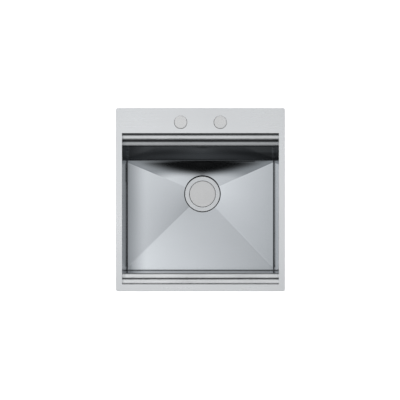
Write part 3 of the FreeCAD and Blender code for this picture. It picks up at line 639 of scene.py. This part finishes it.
knob_steel = spun_steel("knob_steel", knob_place, disc_dark, disc_light, disc_roughness)
cover_steel = spun_steel("cover_steel", cover_place, disc_dark, disc_light, disc_roughness)
dress(knob_steel, "knob_cap")
dress(cover_steel, "hole_cover")

# Gap shade rings: thin dark rubber rings put round the flange, the plug and the discs, as painted
# shade for the shadow in their gaps. Each is a plain round bead at the metal's edge.
flange_lip_level = -0.2079
plug_lip_level = -0.2081
deck_lip_level = 0.0035
flange_lip_radius = 0.053
plug_lip_radius = 0.0391
deck_lip_radius = 0.0176
flange_lip_bead = 0.0004
lip_bead = 0.0006
lip_steps = 144
lip_sides = 10
lip_dark = (0.012, 0.012, 0.012)
lip_light = (0.04, 0.04, 0.04)
lip_shine = 0.3
lip_roughness = 0.55
lip_unevenness = 0.2
lip_grain = (1500.0, 1500.0, 1500.0)
lip_strength = 0.3
lip_depth = 0.00005

# Painted shade: near-black rubber rings stand in for the shadow in the gaps.
gap_shade_rubber, rubber_shader, place = new_finish("gap_shade_rubber", specular_ior_level=lip_shine)
speck = grain(place, lip_grain, fine_detail)
drive(rubber_shader, base_color=tone(speck, lip_dark, lip_light),
      roughness=lip_roughness + speck * lip_unevenness,
      normal=bump(place, speck, lip_strength, lip_depth))
for name, centre, level, lip_radius, bead_radius, body in (
        ("flange_gap_shade", drain_place, flange_lip_level, flange_lip_radius, flange_lip_bead, "sink"),
        ("plug_gap_shade", drain_place, plug_lip_level, plug_lip_radius, lip_bead, "plug"),
        ("knob_gap_shade", knob_place, deck_lip_level, deck_lip_radius, lip_bead, "sink"),
        ("cover_gap_shade", cover_place, deck_lip_level, deck_lip_radius, lip_bead, "sink")):
    bpy.ops.object.select_all(action="DESELECT")
    bpy.ops.mesh.primitive_torus_add(
        location=(centre[0], centre[1], level), major_segments=lip_steps,
        minor_segments=lip_sides, major_radius=lip_radius, minor_radius=bead_radius)
    lip = bpy.context.object
    lip.name = name
    bpy.ops.object.transform_apply(location=True, rotation=True, scale=True)
    bpy.ops.object.shade_smooth()
    lip.data.materials.append(gap_shade_rubber)
    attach(lip, body)

# Gaskets and seals: black rubber rings that are pressed between the waste, the bowl, the plug
# and the deck's fittings. The strip below the rim is closed-cell foam, glued to the plate.
even_cloud = (40.0, 40.0, 40.0)
even_share = 0.5
even_unevenness = 0.15


def plain_finish(name, dark, light, roughness, fineness, strength=0.2, height=0.0001, metallic=0.0):
    """A moulded, plated or rubber surface with a fine even texture."""
    material, shader, place = new_finish(name, metallic=metallic)
    fine = grain(place, (fineness, fineness, fineness), fine_detail)
    cloud = grain(place, even_cloud, cloud_detail)
    drive(shader, base_color=tone(fine * even_share + cloud * even_share, dark, light),
          roughness=roughness + (cloud - noise_middle) * even_unevenness,
          normal=bump(place, fine, strength, height))
    return material


rubber = plain_finish(
    "seal_rubber", (0.02, 0.02, 0.02), (0.05, 0.05, 0.05), roughness=0.6, fineness=1500.0,
    strength=0.3)
foam = plain_finish(
    "foam_strip", (0.05, 0.05, 0.055), (0.12, 0.12, 0.125), roughness=0.9, fineness=900.0,
    strength=0.6, height=0.0004)
dress(rubber, "flange_gasket", "body_gasket", "shaft_seal", "plug_seal", "knob_gasket", "cover_gasket")
dress(foam, "rim_gasket")

# Sound pads: bitumen felt with an embossed grid of low studs, bonded to the bowl's outside.
# The studs are pressed in while the sheet is warm. The floor pads follow the creased floor,
# so the flat outer part of each CAD pad is raised to the sheet in a copy.
pad_thickness = 0.003
flat_pad_level = -0.2042
stud_pitch = 0.0115
stud_foot = 0.0056
stud_top = 0.0042
stud_height = 0.0008
stud_rise = 0.0001
stud_sides = 4
stud_turn = math.radians(45)
studs_on_pads = (("left_studs", (-0.2222, -0.04627, -0.149), (0, -90, 0), 6, 19),
                 ("right_studs", (0.2222, -0.04627, -0.149), (0, 90, 0), 6, 19),
                 ("front_studs", (0, -0.2134, -0.149), (90, 0, 0), 19, 6),
                 ("rear_studs", (0, 0.13377, -0.15057), (-90 - rear_lean, 0, 0), 19, 6),
                 ("left_floor_studs", (-0.1215, -0.04627, 0), (180, 0, 0), 9, 16),
                 ("right_floor_studs", (0.1335, -0.04627, 0), (180, 0, 0), 9, 16))

pad = plain_finish(
    "sound_pad", (0.04, 0.04, 0.045), (0.08, 0.08, 0.085), roughness=0.75, fineness=500.0,
    strength=0.5, height=0.0004)
dress(pad, "side_pads", "front_pad", "rear_pad")
floor_pads = copy_of_node("floor_pads", "floor_pad_sheets")
for vert in floor_pads.data.vertices:
    if abs(vert.co.z - flat_pad_level) < near_sheet:
        vert.co.z = floor_shift(vert.co.x, vert.co.y)[0] - floor_sheet
floor_pads.data.materials.append(pad)
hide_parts("floor_pads")
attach(floor_pads, "sink")

for name, pad_place, tilt, rows, columns in studs_on_pads:
    bpy.ops.object.select_all(action="DESELECT")
    first_stud = (-stud_pitch * (rows - 1) / 2, -stud_pitch * (columns - 1) / 2, stud_rise)
    bpy.ops.mesh.primitive_cone_add(
        vertices=stud_sides, radius1=stud_foot, radius2=stud_top, depth=stud_height,
        location=first_stud, rotation=(0, 0, stud_turn))
    studs = bpy.context.object
    studs.name = name
    bpy.ops.object.transform_apply(location=True, rotation=True, scale=True)
    repeat(studs, rows, (stud_pitch, 0, 0))
    repeat(studs, columns, (0, stud_pitch, 0))
    studs.rotation_euler = [math.radians(angle) for angle in tilt]
    studs.location = pad_place
    bpy.ops.object.transform_apply(location=True, rotation=True, scale=True)
    if "floor" in name:
        for vert in studs.data.vertices:
            height, _ = floor_shift(vert.co.x, vert.co.y)
            vert.co.z += height - floor_sheet - pad_thickness
    studs.data.materials.append(pad)
    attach(studs, "sink")

# Fixing clips: eight zinc-plated steel brackets with hooks and screws that draw the rim down.
# Each screw has a rolled thread and a slot in its head, which faces down to the fitter. The
# slots are cut into a copy of the CAD screws.
side_clip_xs = (-0.2272, 0.2272)
side_clip_ys = (-0.155, 0.105)
front_clip_xs = (-0.13, 0.13)
front_clip_y = -0.2472
rear_clip_xs = (-0.16, 0.16)
rear_clip_y = 0.2472
clip_head_foot = -0.115
clip_thread_foot = -0.1105
slot_length = 0.012
slot_width = 0.0012
slot_height = 0.003
ridge_sides = 3
ridge_share = 0.42
ridge_steps = 32
upright_turn = math.radians(90)
smooth_angle = math.radians(30)


def recessed_screws(name, piece_name, cuts):
    """A copy of a node of zinc-plated screws with straight boxes cut out of the heads."""
    piece = copy_of_node(name, piece_name)
    cutters = []
    for centre, size in cuts:
        bpy.ops.object.select_all(action="DESELECT")
        bpy.ops.mesh.primitive_cube_add(size=1, location=centre)
        cutter = bpy.context.object
        cutter.scale = size
        bpy.ops.object.transform_apply(location=True, rotation=True, scale=True)
        cut = piece.modifiers.new("cut", "BOOLEAN")
        cut.operation = "DIFFERENCE"
        cut.solver = "EXACT"
        cut.object = cutter
        cutters.append(cutter)
    bpy.ops.object.select_all(action="DESELECT")
    piece.select_set(True)
    bpy.context.view_layer.objects.active = piece
    for cut in list(piece.modifiers):
        bpy.ops.object.modifier_apply(modifier=cut.name)
    for cutter in cutters:
        bpy.data.objects.remove(cutter)
    bpy.ops.object.shade_smooth_by_angle(angle=smooth_angle)
    piece.data.materials.clear()
    piece.data.materials.append(zinc)
    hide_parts(name)
    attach(piece, "sink")


def thread(name, foot, radius, pitch, turns, material):
    """A ridge swept up round an upright axis, a little proud of the shank."""
    bpy.ops.object.select_all(action="DESELECT")
    bpy.ops.mesh.primitive_circle_add(
        vertices=ridge_sides, radius=pitch * ridge_share, location=(radius, 0, 0),
        rotation=(upright_turn, 0, 0))
    ridge = bpy.context.object
    ridge.name = name
    bpy.ops.object.transform_apply(location=True, rotation=True, scale=True)
    sweep = ridge.modifiers.new("sweep", "SCREW")
    sweep.steps = ridge_steps
    sweep.render_steps = ridge_steps
    sweep.screw_offset = pitch
    sweep.iterations = turns
    bpy.ops.object.modifier_apply(modifier=sweep.name)
    ridge.location = foot
    bpy.ops.object.transform_apply(location=True, rotation=True, scale=True)
    bpy.ops.object.mode_set(mode="EDIT")
    bpy.ops.mesh.select_all(action="SELECT")
    bpy.ops.mesh.normals_make_consistent(inside=False)
    bpy.ops.object.mode_set(mode="OBJECT")
    bpy.ops.object.shade_smooth_by_angle(angle=smooth_angle)
    ridge.data.materials.append(material)
    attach(ridge, "sink")


zinc = plain_finish(
    "zinc_plate", (0.5, 0.53, 0.56), (0.7, 0.73, 0.76), roughness=0.38, fineness=900.0, metallic=1.0)
dress(zinc, "clip_brackets", "clip_hooks")
screws = [(x, y, slot_width, slot_length) for x in side_clip_xs for y in side_clip_ys]
screws += [(x, front_clip_y, slot_length, slot_width) for x in front_clip_xs]
screws += [(x, rear_clip_y, slot_length, slot_width) for x in rear_clip_xs]
recessed_screws("clip_screws", "clip_screw_set", [
    ((x, y, clip_head_foot), (wide, deep, slot_height)) for x, y, wide, deep in screws])
for i, (x, y, _, _) in enumerate(screws):
    thread(f"clip_thread_{i + 1}", (x, y, clip_thread_foot), radius=0.0024, pitch=0.0008,
           turns=26, material=zinc)

# Waste below the bowl: a moulded grey cup, cone and outlet with the lever drive in its side.
# The outlet's thread is moulded with it. Black levers and a brass nut work inside, and four
# cross-head screws hold the drive's cover.
outlet_thread_foot = -0.3025
cross_x = 0.0672
cover_screw_ys = (0.019, 0.047)
cover_screw_zs = (-0.27, -0.235)
cross_depth = 0.0016
cross_length = 0.0036
cross_width = 0.0008

grey = plain_finish(
    "grey_plastic", (0.5, 0.51, 0.52), (0.6, 0.61, 0.62), roughness=0.45, fineness=1200.0)
black = plain_finish(
    "black_plastic", (0.02, 0.02, 0.022), (0.045, 0.045, 0.05), roughness=0.42, fineness=1200.0)
brass = plain_finish(
    "turned_brass", (0.62, 0.46, 0.2), (0.8, 0.64, 0.34), roughness=0.32, fineness=900.0, metallic=1.0)
dress(grey, "waste_body", "pin_guide", "lever_housing", "lever_cover")
dress(black, "waste_cable_gland", "lift_finger", "pull_lever")
dress(brass, "stem_nut")
thread("outlet_thread", (*drain_place[:2], outlet_thread_foot), radius=0.0238, pitch=0.0023,
       turns=12, material=grey)
crosses = []
for y in cover_screw_ys:
    for z in cover_screw_zs:
        crosses.append(((cross_x, y, z), (cross_depth, cross_length, cross_width)))
        crosses.append(((cross_x, y, z), (cross_depth, cross_width, cross_length)))
recessed_screws("cover_screws", "cover_screw_set", crosses)

# Knob drive below the deck: a black moulded sleeve with its nut, cable drum and housing.
# The sleeve's thread is moulded with it, and a brass spindle turns in it, held by a steel ring.
knob_thread_foot = -0.0232

dress(black, "knob_body", "knob_nut", "cable_drum", "drum_housing", "knob_cable_gland")
dress(brass, "knob_spindle")
dress(zinc, "spindle_ring", "knob_washer")
thread("knob_thread", (*knob_place[:2], knob_thread_foot), radius=0.0135, pitch=0.0015,
       turns=10, material=black)

# Spare hole's cover: a zinc-plated bolt through a steel bridge, held by a black wing nut.
# The bolt's thread is cut and shows below the nut.
bolt_thread_foot = -0.0235

dress(zinc, "cover_bolt", "cover_bridge")
dress(black, "cover_nut")
thread("bolt_thread", (*cover_place[:2], bolt_thread_foot), radius=0.0039, pitch=0.00125,
       turns=9, material=zinc)
